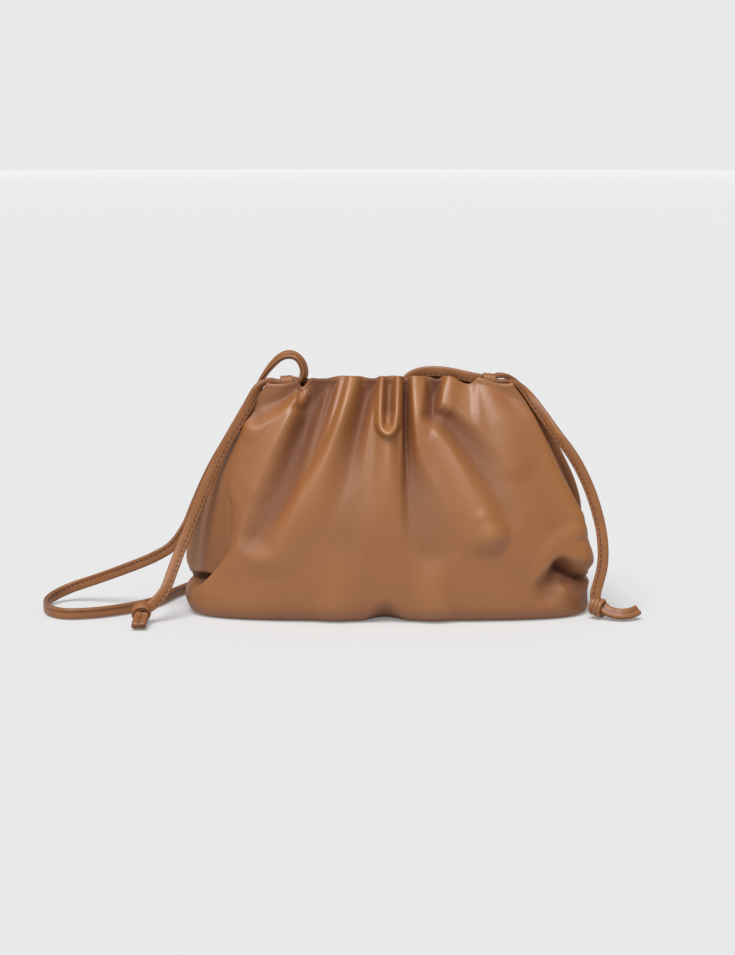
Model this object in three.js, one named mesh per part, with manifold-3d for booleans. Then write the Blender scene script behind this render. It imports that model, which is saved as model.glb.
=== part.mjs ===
// A small crossbody bag in soft tan leather. A hollow pouch stands on a flat base and is gathered at its
// mouth. A flat strap runs through two wrapped knots at the ends of the mouth, and its two loose ends
// finish in overhand knots on the floor.
// Millimetres, +Z up. The origin lies on the floor under the middle of the pouch. +X runs to the right
// along the pouch, and -Y is its front.
import * as THREE from "three";
import { mergeVertices } from "three/addons/utils/BufferGeometryUtils.js";
import Module from "manifold-3d";

const wasm = await Module();
wasm.setup();

// Driving dimensions.
const LEATHER_THICK = 1.8;
const STRAP_WIDTH = 6.8;
const STRAP_THICK = 3.4;
const STRAP_SIDES = 8;
const SLIDE_KNOT_LENGTH = 10;
const SLIDE_KNOT_RADIUS = 4.3;
const SLIDE_KNOT_WRAPS = 3;
const END_KNOT_SIZE = 1.8;
const SLIDE_KNOT_WAIST = 0.8;
const END_KNOT_BREADTH = 1.3;
const END_KNOT_CORE = 2.4;

const POUCH_TAN = 0xa06a44;
const STRAP_TAN = 0x9c6a48;
const KNOT_TAN = 0x94623f;
const LEATHER_ROUGHNESS = 0.5;

// How finely the surfaces are cut up.
const AROUND = 96;
const FRONT_DENSITY = 1.7;
const RINGS_PER_SECTION = 2;
const SLIDE_KNOT_SIDES = 12;
const STEPS_PER_WRAP = 5;
const END_KNOT_PIECES = 6;
const STEPS_PER_PIECE = 3;
const MEASURING_STEPS = 1440;

// The smooth pouch under its folds, a row for each level from the floor to the mouth. square is the
// power of the superellipse: 2 is an ellipse, and more is squarer.
const SECTIONS = [
  { height: 0, halfWidth: 118, halfDepth: 34, square: 3.2 },
  { height: 2.5, halfWidth: 125, halfDepth: 40, square: 3.1 },
  { height: 9, halfWidth: 128.5, halfDepth: 44.5, square: 3.0 },
  { height: 24, halfWidth: 128.5, halfDepth: 46.5, square: 2.8 },
  { height: 44, halfWidth: 127, halfDepth: 45.5, square: 2.65 },
  { height: 66, halfWidth: 119.5, halfDepth: 41, square: 2.5 },
  { height: 88, halfWidth: 109, halfDepth: 34, square: 2.4 },
  { height: 109, halfWidth: 100, halfDepth: 26, square: 2.35 },
  { height: 128, halfWidth: 90, halfDepth: 17.5, square: 2.3 },
  { height: 146, halfWidth: 79, halfDepth: 12.5, square: 2.5 },
];
const REFERENCE_SECTION = 5;
const MOUTH_HEIGHT = SECTIONS.at(-1).height;

// Where the hem of the mouth dips, a row for each dip. face is -1 for the front and 1 for the back.
const HEM_DIPS = [
  { name: "left corner", face: 0, x: -80, halfWidth: 24, drop: 8 },
  { name: "right corner", face: 0, x: 80, halfWidth: 24, drop: 8 },
  { name: "loop notch", face: -1, x: -55, halfWidth: 7, drop: 4 },
  { name: "folded lip", face: -1, x: 48, halfWidth: 10, drop: 10 },
];
const HEM_REACH = 40;

// Each side is pushed in between a front and a back crease, given in degrees round the section from
// the middle of the side, with the front positive. depth is how far the deepest line is pushed in.
const LEFT_GUSSET = [
  { height: 15, front: 27, deep: 17, back: -14, depth: 0 },
  { height: 21, front: 30, deep: 18, back: -14, depth: 8 },
  { height: 30, front: 36, deep: 21, back: -14, depth: 16 },
  { height: 45, front: 44, deep: 26, back: -14, depth: 19 },
  { height: 68, front: 46, deep: 25, back: -14, depth: 15 },
  { height: 95, front: 40, deep: 18, back: -14, depth: 7 },
  { height: 122, front: 32, deep: 6, back: -16, depth: 3 },
  { height: 146, front: 28, deep: 2, back: -20, depth: 2 },
];
const RIGHT_GUSSET = [
  { height: 18, front: 16, deep: 0, back: -30, depth: 0 },
  { height: 24, front: 16, deep: 0, back: -30, depth: 8 },
  { height: 32, front: 16, deep: -2, back: -34, depth: 13 },
  { height: 60, front: 18, deep: -4, back: -36, depth: 12 },
  { height: 95, front: 18, deep: -4, back: -34, depth: 7 },
  { height: 122, front: 18, deep: -2, back: -28, depth: 3 },
  { height: 146, front: 20, deep: -2, back: -28, depth: 2 },
];

// The folds, a row for each ridge (rise above 0) or valley (rise below 0). A fold runs from x0, z0 to
// x1, z1 as seen from the front, bows sideways by bow in its middle, and is half0 to half1 wide to each
// side. lean shifts its crest sideways, so that it hangs over its neighbour. sharp goes from 0 for a round
// fold to 1 for a crease.
const FOLD_COLUMNS = ["x0", "z0", "x1", "z1", "bow", "half0", "half1", "rise0", "rise1", "lean", "sharp"];
const foldTable = (rows) =>
  Object.values(rows).map((row) => Object.fromEntries(FOLD_COLUMNS.map((column, at) => [column, row[at]])));
const FRONT_FOLDS = foldTable({
  "corner valley": [-68, 141, -82, 127, 0, 9, 11, -3, -4, 0, 0],
  "corner crest": [-70, 127, -86, 104, 0, 12, 12, 2.5, 2, 0, 0],
  "left panel": [-53, 147, -78, 94, -2, 10, 14, 5.5, 3.5, 2, 0],
  "left valley": [-43, 147, -86, 50, -2, 10, 11, -9, -5, 0, 0.2],
  "left strip": [-37.5, 148, -38.5, 133, 0, 6, 6, 5, 3, 1, 0],
  "strip valley": [-31.5, 148, -34.5, 133, 0, 5, 5, -8, -6, 0, 0.4],
  "upper left ridge": [-23, 148, -34, 119, 0, 9, 11, 7.5, 7.5, -3, 0],
  "left ridge": [-34, 119, -82, 46, 1, 11, 10, 7.5, 6, -3, 0],
  "inner left valley": [-11, 147, -38, 70, 0, 8, 16, -8.5, -0.5, 0, 0.25],
  "keyhole left arm": [-5, 149, -6.8, 124, 0, 5.2, 5.2, 5.5, 5.5, 0, 0],
  "keyhole foot": [-4.4, 119.5, 1.4, 119.5, 0, 5.2, 5.2, 5.5, 5.5, 0, 0],
  "keyhole right arm": [5, 149, 3.9, 124, 0, 5.2, 5.2, 5.5, 5.5, 0, 0],
  "keyhole recess": [0.2, 150, -1.4, 130, 0, 4.8, 4.4, -7, -5, 0, 0],
  "centre ribbon": [-1.5, 114, -1, 58, 0, 11, 17, 5, 1.5, 0, 0],
  "deep crease": [9.5, 148, 19, 12, -5.5, 5.5, 15, -13, -1.5, 0, 0.6],
  "right of crease": [17, 148, 18, 90, -3, 7.5, 15, 7.5, 2.5, 0, 0],
  "right pocket": [25, 147, 26, 125, 0, 8, 8, -11, -9, 0, 0.3],
  "right panel edge": [36, 148, 28.5, 125, 0, 9, 9, 8, 6.5, -4, 0.3],
  "right ridge": [29, 121, 62, 62, 3, 11, 17, 5.5, 6, 0, 0],
  "right valley": [40, 124, 72, 68, 5, 12, 16, -9, -1.5, 0, 0.25],
  "folded lip": [50, 146, 51, 136, 0, 7, 6, -5, -4, 0, 0],
  "outer right ridge": [58, 146, 74, 98, 2, 9, 14, 4.5, 2.5, 0, 0],
  "outer right valley": [67, 145, 86, 100, 0, 8, 12, -3.5, -1.5, 0, 0],
  "left foot swell": [-33, 8, -27, 58, 0, 18, 15, 4, 1.5, 0, 0],
  "foot dent": [-3, 2, -4, 44, 0, 20, 14, -5, -1.5, 0, 0],
  "right foot swell": [27, 8, 23, 50, 0, 16, 14, 4, 1.5, 0, 0],
  "corner brow": [96, 40, 124, 42, 5, 12, 12, 2.5, 2, 0, 0],
  "corner dimple": [106, 19, 120, 24, 0, 17, 13, -7, -7, 0, 0.2],
  "corner pinch": [108, 32, 126, 24, 0, 7, 6, -9, -7, 0, 0.8],
});
const BACK_FOLDS = foldTable({
  "back ridge 1": [-62, 147, -80, 84, 0, 10, 13, 4, 2, 0, 0],
  "back valley 1": [-46, 147, -66, 72, -3, 10, 11, -5, -3, 0, 0.2],
  "back ridge 2": [-29, 147, -46, 56, -3, 11, 12, 6, 4, 0, 0],
  "back valley 2": [-13, 147, -20, 84, 0, 9, 12, -5, -2, 0, 0.2],
  "back ridge 3": [2, 147, 1, 90, 0, 10, 12, 6, 2, 0, 0],
  "back valley 3": [17, 147, 24, 64, 0, 9, 12, -5, -3, 0, 0.2],
  "back ridge 4": [32, 147, 50, 54, 3, 11, 12, 6, 4, 0, 0],
  "back valley 4": [48, 147, 66, 84, 2, 9, 12, -5, -2, 0, 0.2],
  "back ridge 5": [62, 146, 80, 96, 0, 9, 13, 4, 2, 0, 0],
  "back left foot swell": [-36, 8, -30, 56, 0, 18, 15, 4, 1.5, 0, 0],
  "back right foot swell": [31, 8, 26, 52, 0, 18, 15, 4, 1.5, 0, 0],
});
// The folds of the two sides, with y in place of x.
const LEFT_FOLDS = foldTable({
  "pocket": [-33, 21, -20, 19, 0, 5, 6, -9, -14, 0, 0.5],
  "lip": [-20, 19, 16, 17, 0, 5, 4, -10, -3, 0, 0.7],
});
const RIGHT_FOLDS = foldTable({
  "pinch": [-38, 25, 4, 21, 0, 6, 5, -4, -3, 0, 0.7],
});
const FOLD_BLEND = 4;

// A fold acts in full where the wall's direction has at least FULL_FACING towards its face, and not at all
// below NO_FACING. CREASE_SOFTNESS rounds the creases of the gussets.
const NO_FACING = 0.1;
const FULL_FACING = 0.6;
const CREASE_SOFTNESS = 0.35;

// Degrees from the middle of a side to where its gusset's wall ends and the face's wall begins.
const GUSSET_WALL = 52;
const FACE_WALL = 64;

// The strap's middle line, a row for each point: x, y, z, then the way its wide side runs there.
const SHOULDER_STRAP = [
  [-58.1, 0, 145.6, 0, 0.7, 0.7],
  [-55, 0, 147.6, 0.7, 0.7, 0],
  [-53.8, 0.5, 151.5, 0.8, 0.6, 0],
  [-55.2, 1, 156.8, 0.7, 0.6, 0.4],
  [-58.6, 2, 160.6, 0.3, 0.6, 0.7],
  [-63.4, 3, 162, 0, 0.6, 0.8],
  [-68.8, 4, 160.2, -0.3, 0.6, 0.7],
  [-74.4, 5, 155, -0.6, 0.6, 0.5],
  [-80, 6, 147.4, -0.7, 0.5, 0.5],
  [-85.4, 6.5, 138.5, -0.8, 0.3, 0.5],
  [-92.8, 6.5, 126, -0.85, 0.1, 0.5],
  [-101.2, 6, 112.4, -0.85, 0, 0.5],
  [-110.5, 4, 97, -0.85, 0, 0.5],
  [-118.5, 2, 82, -0.9, 0, 0.4],
  [-125, 0, 67, -0.9, 0, 0.4],
  [-130.5, -3, 53, -0.8, 0, 0.5],
  [-138, -5, 41, -0.6, 0, 0.8],
  [-150, -5, 33.5, -0.4, 0, 0.9],
  [-168, 1, 25, -0.2, 0, 1],
  [-188, 10.5, 16, 0, 0, 1],
  [-206, 14.5, 9, 0, 0, 1],
  [-216.5, 6.5, 5, 0, 0, 1],
  [-218.5, -9, 4, 0, 0, 1],
  [-213.5, -26, 4, 0, 0, 1],
  [-202, -35, 4, 0, 0, 1],
  [-184, -32, 4, 0, 0, 1],
  [-165, -20, 4, 0, 0, 1],
  [-149, -2, 4, 0, 0, 1],
  [-136, 30, 4, 0, 0, 1],
  [-116, 62, 4, 0, 0, 1],
  [-80, 84, 4, 0, 0, 1],
  [-36, 94, 4, 0, 0, 1],
  [12, 96, 4, 0, 0, 1],
  [58, 88, 4, 0, 0, 1],
  [94, 70, 6, -0.3, 0, 1],
  [113, 52, 19, -0.8, 0, 0.6],
  [120, 38, 39, -1, 0, 0.1],
  [121, 28, 59, -1, 0, -0.1],
  [116, 20, 78, -0.9, 0, -0.3],
  [107.5, 15, 96, -0.9, 0, -0.4],
  [98, 11, 114, -0.85, 0.1, -0.5],
  [89, 8, 129.5, -0.8, 0.3, -0.5],
  [81.5, 5.5, 140.5, -0.6, 0.7, -0.4],
  [74.6, 4, 147, -0.2, 1, -0.2],
  [68.6, 2.2, 148.6, 0, 1, 0],
];
const LEFT_STRAP_END = [
  [-71.2, 0, 145.2, 0, 1, 0],
  [-75, -0.8, 146, 0, 1, 0],
  [-79, -2.2, 145, 0.3, 1, 0],
  [-83.4, -3.6, 140.5, 0.6, 0.7, -0.4],
  [-90, -5, 130, 0.8, 0.3, -0.5],
  [-98.5, -7, 116, 0.85, 0, -0.5],
  [-108, -10, 100, 0.85, 0, -0.5],
  [-117, -14, 82, 0.9, 0, -0.4],
  [-124.5, -19, 63, 0.9, 0, -0.3],
  [-130.5, -25, 46, 0.95, 0, -0.2],
  [-135.5, -32, 31, 0.95, 0, -0.2],
  [-140, -38.5, 19.5, 0.8, 0, -0.5],
  [-147.4, -43.2, 11.6, 0.5, 0, -0.8],
];
const RIGHT_STRAP_END = [
  [68.4, -2.4, 144.4, 0, 1, 0],
  [73, -4, 143.8, 0, 1, 0],
  [78.4, -5.6, 141, 0.4, 0.9, 0.2],
  [84.5, -7.4, 135.2, 0.7, 0.5, 0.4],
  [93, -9.5, 126.4, 0.8, 0.2, 0.6],
  [104, -12, 114, 0.8, 0, 0.6],
  [114.5, -15, 100, 0.85, 0, 0.5],
  [123, -18.5, 84, 0.9, 0, 0.4],
  [129, -22, 67, 0.95, 0, 0.3],
  [132.6, -25.5, 49.5, 1, 0, 0.1],
  [132.6, -28.5, 33, 1, 0, 0],
  [128.4, -31.5, 16.1, 1, 0, 0],
];
const MOUTH_CORD = [
  [9, 3.5, 142, 0, 0, 1],
  [12.5, 4.5, 147.2, -0.4, 0, 0.9],
  [18.5, 5, 150, -0.2, 0, 1],
  [26, 4.5, 151, 0, 0, 1],
  [34, 3.5, 150.8, 0, 0, 1],
  [42, 2, 149.6, 0, 0, 1],
  [50, 0.6, 148, 0, 0, 1],
  [56.4, 0, 146.8, 0, 0, 1],
];

// The wrapped knots: the middle of each, and how far its axis rises to the right.
const LEFT_SLIDE_KNOT = { x: -64.6, y: 0, z: 145, tilt: 4 };
const RIGHT_SLIDE_KNOT = { x: 62.2, y: 0, z: 146.4, tilt: -6 };

// The overhand knots: the middle of each, the turn of its ring about Z, and the way of its tail.
const LEFT_END_KNOT = { x: -154, y: -44, z: 9, turn: -70 };
const RIGHT_END_KNOT = { x: 130.6, y: -32, z: 9.2, turn: 20 };
const LEFT_TAIL = [
  [-153, -46, 8, 1, 0, 0],
  [-153.5, -53, 5, 1, 0, 0],
  [-154, -60.5, 4.2, 1, 0, 0],
];
const RIGHT_TAIL = [
  [131.6, -32, 7.6, 0, 0.5, 1],
  [136, -37, 4.6, 0, 0, 1],
  [144.5, -39.5, 4.4, 0, 0, 1],
  [154.5, -33, 5.4, 0, 0, 1],
];

const lerp = THREE.MathUtils.lerp;
const clamp = THREE.MathUtils.clamp;
const radians = THREE.MathUtils.degToRad;

// A table column at a height, straight between its rows.
function columnAt(table, column, height) {
  const above = table.findIndex((row) => row.height >= height);
  if (above === 0) return table[0][column];
  if (above < 0) return table.at(-1)[column];
  const low = table[above - 1];
  const high = table[above];
  return lerp(low[column], high[column], (height - low.height) / (high.height - low.height));
}

// A column of the sections as a smooth curve over the row number.
function sectionCurve(column) {
  return new THREE.SplineCurve(SECTIONS.map((row, index) => new THREE.Vector2(index, row[column])));
}
const HEIGHT_CURVE = sectionCurve("height");
const WIDTH_CURVE = sectionCurve("halfWidth");
const DEPTH_CURVE = sectionCurve("halfDepth");
const SQUARE_CURVE = sectionCurve("square");

// A point of the smooth pouch, with its outward direction in the level plane.
function smoothPoint(angle, share) {
  const height = HEIGHT_CURVE.getPoint(share).y;
  const halfWidth = WIDTH_CURVE.getPoint(share).y;
  const halfDepth = DEPTH_CURVE.getPoint(share).y;
  const square = SQUARE_CURVE.getPoint(share).y;
  const cosine = Math.cos(angle);
  const sine = Math.sin(angle);
  const across = Math.sign(cosine) * Math.abs(cosine) ** (2 / square);
  const along = Math.sign(sine) * Math.abs(sine) ** (2 / square);
  const point = new THREE.Vector3(halfWidth * across, halfDepth * along, height);
  const outX = (Math.sign(across) * Math.abs(across) ** (square - 1)) / halfWidth;
  const outY = (Math.sign(along) * Math.abs(along) ** (square - 1)) / halfDepth;
  return { point, outward: new THREE.Vector3(outX, outY, 0).normalize() };
}

// A bump that is 1 in the middle and 0 from a distance of 1 on, round or, with sharp at 1, creased.
function bump(distance, sharp = 0) {
  const away = Math.min(1, distance);
  const round = (1 - away * away) ** 2;
  const creased = (1 - away) ** 2;
  return lerp(round, creased, sharp);
}

// How strongly a fold acts at x, z, from 0 to 1, and how far along the fold that is.
function foldAt(fold, x, z) {
  const runX = fold.x1 - fold.x0;
  const runZ = fold.z1 - fold.z0;
  const length = Math.hypot(runX, runZ);
  const along = ((x - fold.x0) * runX + (z - fold.z0) * runZ) / (length * length);
  const share = clamp(along, 0, 1);
  const sway = fold.bow * 4 * share * (1 - share);
  const off = ((x - fold.x0) * -runZ + (z - fold.z0) * runX) / length - sway * Math.sign(-runZ || 1);
  const half = lerp(fold.half0, fold.half1, share);
  const past = ((along - share) * length) / half;
  return { share, weight: bump(Math.hypot(off / half, past), fold.sharp) };
}

// All the folds of one face at x, z: ridges and valleys each blend as a soft union.
function foldedBy(folds, x, z) {
  let ridge = 0;
  let valley = 0;
  let lean = 0;
  for (const fold of folds) {
    const { share, weight } = foldAt(fold, x, z);
    const rise = lerp(fold.rise0, fold.rise1, share) * weight;
    if (rise > 0) ridge += rise ** FOLD_BLEND;
    else valley += (-rise) ** FOLD_BLEND;
    lean += fold.lean * weight;
  }
  return { rise: ridge ** (1 / FOLD_BLEND) - valley ** (1 / FOLD_BLEND), lean };
}

// How far a gusset is pushed in: straight flanks from the creases to the deepest line.
function tuckedBy(gusset, degrees, height) {
  const front = columnAt(gusset, "front", height);
  const deep = columnAt(gusset, "deep", height);
  const back = columnAt(gusset, "back", height);
  const edge = degrees > deep ? front : back;
  const flank = clamp((edge - degrees) / (edge - deep), 0, 1);
  const soft = flank * flank * (3 - 2 * flank);
  return columnAt(gusset, "depth", height) * lerp(flank, soft, CREASE_SOFTNESS);
}

// Degrees round the section from the middle of the right or left side, with the front positive.
function sideDegrees(angle, right) {
  const turned = right ? Math.atan2(-Math.sin(angle), Math.cos(angle)) : angle - Math.PI;
  return THREE.MathUtils.radToDeg(turned);
}

// A point of the pouch's outer face.
function pouchPoint(angle, share) {
  const { point, outward } = smoothPoint(angle, share);
  const { x, y, z } = point;
  const hemShare = THREE.MathUtils.smoothstep(z, MOUTH_HEIGHT - HEM_REACH, MOUTH_HEIGHT);
  for (const dip of HEM_DIPS) {
    if (dip.face * y < 0) continue;
    point.z -= dip.drop * bump(Math.abs(x - dip.x) / dip.halfWidth) * hemShare;
  }
  const fold = foldedBy(y < 0 ? FRONT_FOLDS : BACK_FOLDS, x, z);
  const facing = THREE.MathUtils.smoothstep(Math.abs(outward.y), NO_FACING, FULL_FACING);
  point.addScaledVector(outward, fold.rise * facing);
  point.x += fold.lean * facing;
  const right = x > 0;
  const sideways = THREE.MathUtils.smoothstep(Math.abs(outward.x), NO_FACING, FULL_FACING);
  point.x += Math.sign(x) * foldedBy(right ? RIGHT_FOLDS : LEFT_FOLDS, y, z).rise * sideways;
  const tuck = tuckedBy(right ? RIGHT_GUSSET : LEFT_GUSSET, sideDegrees(angle, right), z);
  point.x -= Math.sign(x) * tuck;
  return point;
}

// Angles round the pouch, evenly spread along the reference section and closer on the front.
function ringAngles(count) {
  const steps = MEASURING_STEPS;
  const share = REFERENCE_SECTION / (SECTIONS.length - 1);
  const lengths = [0];
  let before = smoothPoint(0, share).point;
  for (let step = 1; step <= steps; step += 1) {
    const here = smoothPoint((step / steps) * 2 * Math.PI, share).point;
    const density = here.y < 0 ? FRONT_DENSITY : 1;
    lengths.push(lengths.at(-1) + density * here.distanceTo(before));
    before = here;
  }
  const angles = [];
  for (let index = 0, step = 0; index < count; index += 1) {
    const wanted = (index / count) * lengths.at(-1);
    while (lengths[step + 1] < wanted) step += 1;
    const part = (wanted - lengths[step]) / (lengths[step + 1] - lengths[step]);
    angles.push(((step + part) / steps) * 2 * Math.PI);
  }
  return angles;
}

// A closed skin over rings of equal count, with a fan to a point at each end. From the fold ring on, the
// skin runs back down inside itself, and its squares are split along the same lines as outside.
function skin(start, rings, end, foldRing) {
  const count = rings[0].length;
  const positions = [start, ...rings.flat(), end].flatMap((point) => [point.x, point.y, point.z]);
  const last = 1 + rings.length * count;
  const triangles = [];
  for (let index = 0; index < count; index += 1) {
    const next = (index + 1) % count;
    triangles.push(0, 1 + next, 1 + index);
    for (let ring = 0; ring < rings.length - 1; ring += 1) {
      const low = 1 + ring * count;
      const high = low + count;
      if (ring < foldRing) {
        triangles.push(low + index, low + next, high + index);
        triangles.push(high + index, low + next, high + next);
      } else {
        triangles.push(low + index, low + next, high + next);
        triangles.push(low + index, high + next, high + index);
      }
    }
    const top = last - count;
    triangles.push(last, top + index, top + next);
  }
  const geometry = new THREE.BufferGeometry();
  geometry.setAttribute("position", new THREE.Float32BufferAttribute(positions, 3));
  geometry.setIndex(triangles);
  geometry.computeVertexNormals();
  return geometry;
}

// The inner face of the wall. On the front and back each point goes in along the smooth pouch's direction.
// Round the gussets, where the wall doubles back, it goes in along the folded wall's own normal.
function innerRings(outer, angles) {
  const count = angles.length;
  return outer.map((ring, level) =>
    ring.map((point, index) => {
      const around = ring[(index + 1) % count].clone().sub(ring[(index + count - 1) % count]);
      const above = outer[Math.min(level + 1, outer.length - 1)][index];
      const below = outer[Math.max(level - 1, 0)][index];
      const normal = around.cross(above.clone().sub(below)).normalize();
      const { outward } = smoothPoint(angles[index], level / (outer.length - 1));
      const degrees = Math.abs(sideDegrees(angles[index], point.x > 0));
      outward.lerp(normal, 1 - THREE.MathUtils.smoothstep(degrees, GUSSET_WALL, FACE_WALL)).normalize();
      const inside = point.clone().addScaledVector(outward, -LEATHER_THICK);
      inside.z = Math.max(inside.z, LEATHER_THICK);
      return inside;
    }),
  );
}

// The pouch: one leather wall from the base up to the hem and back down inside.
function pouchGeometry() {
  const angles = ringAngles(AROUND);
  const levels = (SECTIONS.length - 1) * RINGS_PER_SECTION;
  const outer = [];
  for (let level = 0; level <= levels; level += 1) {
    outer.push(angles.map((angle) => pouchPoint(angle, level / levels)));
  }
  const inner = innerRings(outer, angles);
  const hem = outer.at(-1).map((point, index) => {
    const top = point.clone().lerp(inner.at(-1)[index], 0.5);
    top.z += LEATHER_THICK / 2;
    return top;
  });
  const floorRing = (ring, z) => ring.map((point) => new THREE.Vector3(point.x / 2, point.y / 2, z));
  const rings = [
    floorRing(outer[0], 0),
    ...outer,
    hem,
    ...inner.toReversed(),
    floorRing(inner[0], LEATHER_THICK),
  ];
  const foldRing = rings.indexOf(hem);
  return skin(new THREE.Vector3(0, 0, 0), rings, new THREE.Vector3(0, 0, LEATHER_THICK), foldRing);
}

// A strap's middle line, which also turns the strap's wide side as its rows say.
class StrapRoute extends THREE.CatmullRomCurve3 {
  constructor(rows) {
    const points = rows.map((row) => new THREE.Vector3(row[0], row[1], row[2]));
    super(points, false, "catmullrom", 0.5);
    this.wideSides = rows.map((row) => new THREE.Vector3(row[3], row[4], row[5]).normalize());
  }

  getSpacedPoints(steps) {
    return this.getPoints(steps);
  }

  computeFrenetFrames(steps) {
    const tangents = [];
    const normals = [];
    const binormals = [];
    for (let step = 0; step <= steps; step += 1) {
      const place = (step / steps) * (this.wideSides.length - 1);
      const row = Math.min(Math.floor(place), this.wideSides.length - 2);
      const tangent = this.getTangent(step / steps);
      const wide = this.wideSides[row].clone().lerp(this.wideSides[row + 1], place - row);
      wide.addScaledVector(tangent, -wide.dot(tangent)).normalize();
      tangents.push(tangent);
      normals.push(wide);
      binormals.push(new THREE.Vector3().crossVectors(tangent, wide));
    }
    return { tangents, normals, binormals };
  }
}

// A flat strap with round edges along a route.
function strapGeometry(rows) {
  const section = new THREE.Shape();
  section.absellipse(0, 0, STRAP_WIDTH / 2, STRAP_THICK / 2, 0, 2 * Math.PI);
  return new THREE.ExtrudeGeometry(section, {
    steps: rows.length - 1,
    curveSegments: STRAP_SIDES / 2,
    bevelEnabled: false,
    extrudePath: new StrapRoute(rows),
  });
}

// A closed mesh as a solid that can be joined, and a solid as a mesh again.
function solidOf(geometry) {
  const bare = geometry.clone();
  bare.deleteAttribute("normal");
  bare.deleteAttribute("uv");
  const merged = mergeVertices(bare, 1e-4);
  const vertProperties = new Float32Array(merged.attributes.position.array);
  const triVerts = new Uint32Array(merged.index.array);
  return new wasm.Manifold(new wasm.Mesh({ numProp: 3, vertProperties, triVerts }));
}
function geometryOf(solid) {
  const { vertProperties, triVerts } = solid.getMesh();
  const geometry = new THREE.BufferGeometry();
  geometry.setAttribute("position", new THREE.Float32BufferAttribute(vertProperties, 3));
  geometry.setIndex(Array.from(triVerts));
  geometry.computeVertexNormals();
  return geometry;
}

// A wrapped knot: a barrel along X with a round ridge for each turn of the strap.
function slideKnotGeometry() {
  const steps = SLIDE_KNOT_WRAPS * STEPS_PER_WRAP;
  const profile = [new THREE.Vector2(0, -SLIDE_KNOT_LENGTH / 2)];
  for (let step = 0; step <= steps; step += 1) {
    const turn = (step / STEPS_PER_WRAP) % 1;
    const ridge = Math.sqrt(Math.sin(Math.PI * turn));
    const radius = SLIDE_KNOT_RADIUS * lerp(SLIDE_KNOT_WAIST, 1, ridge);
    profile.push(new THREE.Vector2(radius, (step / steps - 0.5) * SLIDE_KNOT_LENGTH));
  }
  profile.push(new THREE.Vector2(0, SLIDE_KNOT_LENGTH / 2));
  return new THREE.LatheGeometry(profile, SLIDE_KNOT_SIDES).rotateZ(-Math.PI / 2);
}

// An overhand knot drawn tight: the strap runs round a trefoil, and its short tail sticks out.
function endKnotGeometry(knot, tail) {
  const steps = END_KNOT_PIECES * STEPS_PER_PIECE;
  const turned = new THREE.Matrix4().makeRotationZ(radians(knot.turn)).setPosition(knot.x, knot.y, knot.z);
  const axis = new THREE.Vector3(0, 1, 0).transformDirection(turned);
  const rows = [];
  for (let step = 0; step <= steps; step += 1) {
    const angle = (step / steps) * 2 * Math.PI;
    const reach = END_KNOT_SIZE * (2 + Math.cos(3 * angle));
    const side = END_KNOT_SIZE * END_KNOT_BREADTH * Math.sin(3 * angle);
    const point = new THREE.Vector3(reach * Math.cos(2 * angle), side, reach * Math.sin(2 * angle));
    rows.push([...point.applyMatrix4(turned).toArray(), ...axis.toArray()]);
  }
  const core = new THREE.SphereGeometry(END_KNOT_SIZE * END_KNOT_CORE, 12, 8).applyMatrix4(turned);
  let solid = solidOf(strapGeometry(tail)).add(solidOf(core));
  for (let piece = 0; piece < END_KNOT_PIECES; piece += 1) {
    const stretch = rows.slice(piece * STEPS_PER_PIECE, (piece + 1) * STEPS_PER_PIECE + 1);
    solid = solid.add(solidOf(strapGeometry(stretch)));
  }
  return geometryOf(solid);
}

const part = new THREE.Group();

// Adds one named piece with its own leather.
function addPiece(name, geometry, color) {
  const material = new THREE.MeshStandardMaterial({ color, roughness: LEATHER_ROUGHNESS, metalness: 0 });
  const mesh = new THREE.Mesh(geometry, material);
  mesh.name = name;
  part.add(mesh);
  return mesh;
}

addPiece("pouch", pouchGeometry(), POUCH_TAN);
addPiece("shoulder_strap", strapGeometry(SHOULDER_STRAP), STRAP_TAN);
addPiece("left_strap_end", strapGeometry(LEFT_STRAP_END), STRAP_TAN);
addPiece("right_strap_end", strapGeometry(RIGHT_STRAP_END), STRAP_TAN);
addPiece("mouth_cord", strapGeometry(MOUTH_CORD), STRAP_TAN);

for (const [name, knot] of [
  ["left_slide_knot", LEFT_SLIDE_KNOT],
  ["right_slide_knot", RIGHT_SLIDE_KNOT],
]) {
  const mesh = addPiece(name, slideKnotGeometry(), KNOT_TAN);
  mesh.position.set(knot.x, knot.y, knot.z);
  mesh.rotation.y = radians(-knot.tilt);
}

addPiece("left_end_knot", endKnotGeometry(LEFT_END_KNOT, LEFT_TAIL), KNOT_TAN);
addPiece("right_end_knot", endKnotGeometry(RIGHT_END_KNOT, RIGHT_TAIL), KNOT_TAN);

export default part;
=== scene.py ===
"""A small gathered crossbody bag in tan leather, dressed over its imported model.

Tables and routes are in millimetres, as a maker would write them. Meshes are in metres, with +Z up, the
origin on the floor under the middle of the pouch, +X along the pouch and -Y to its front.
"""
import math

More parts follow.
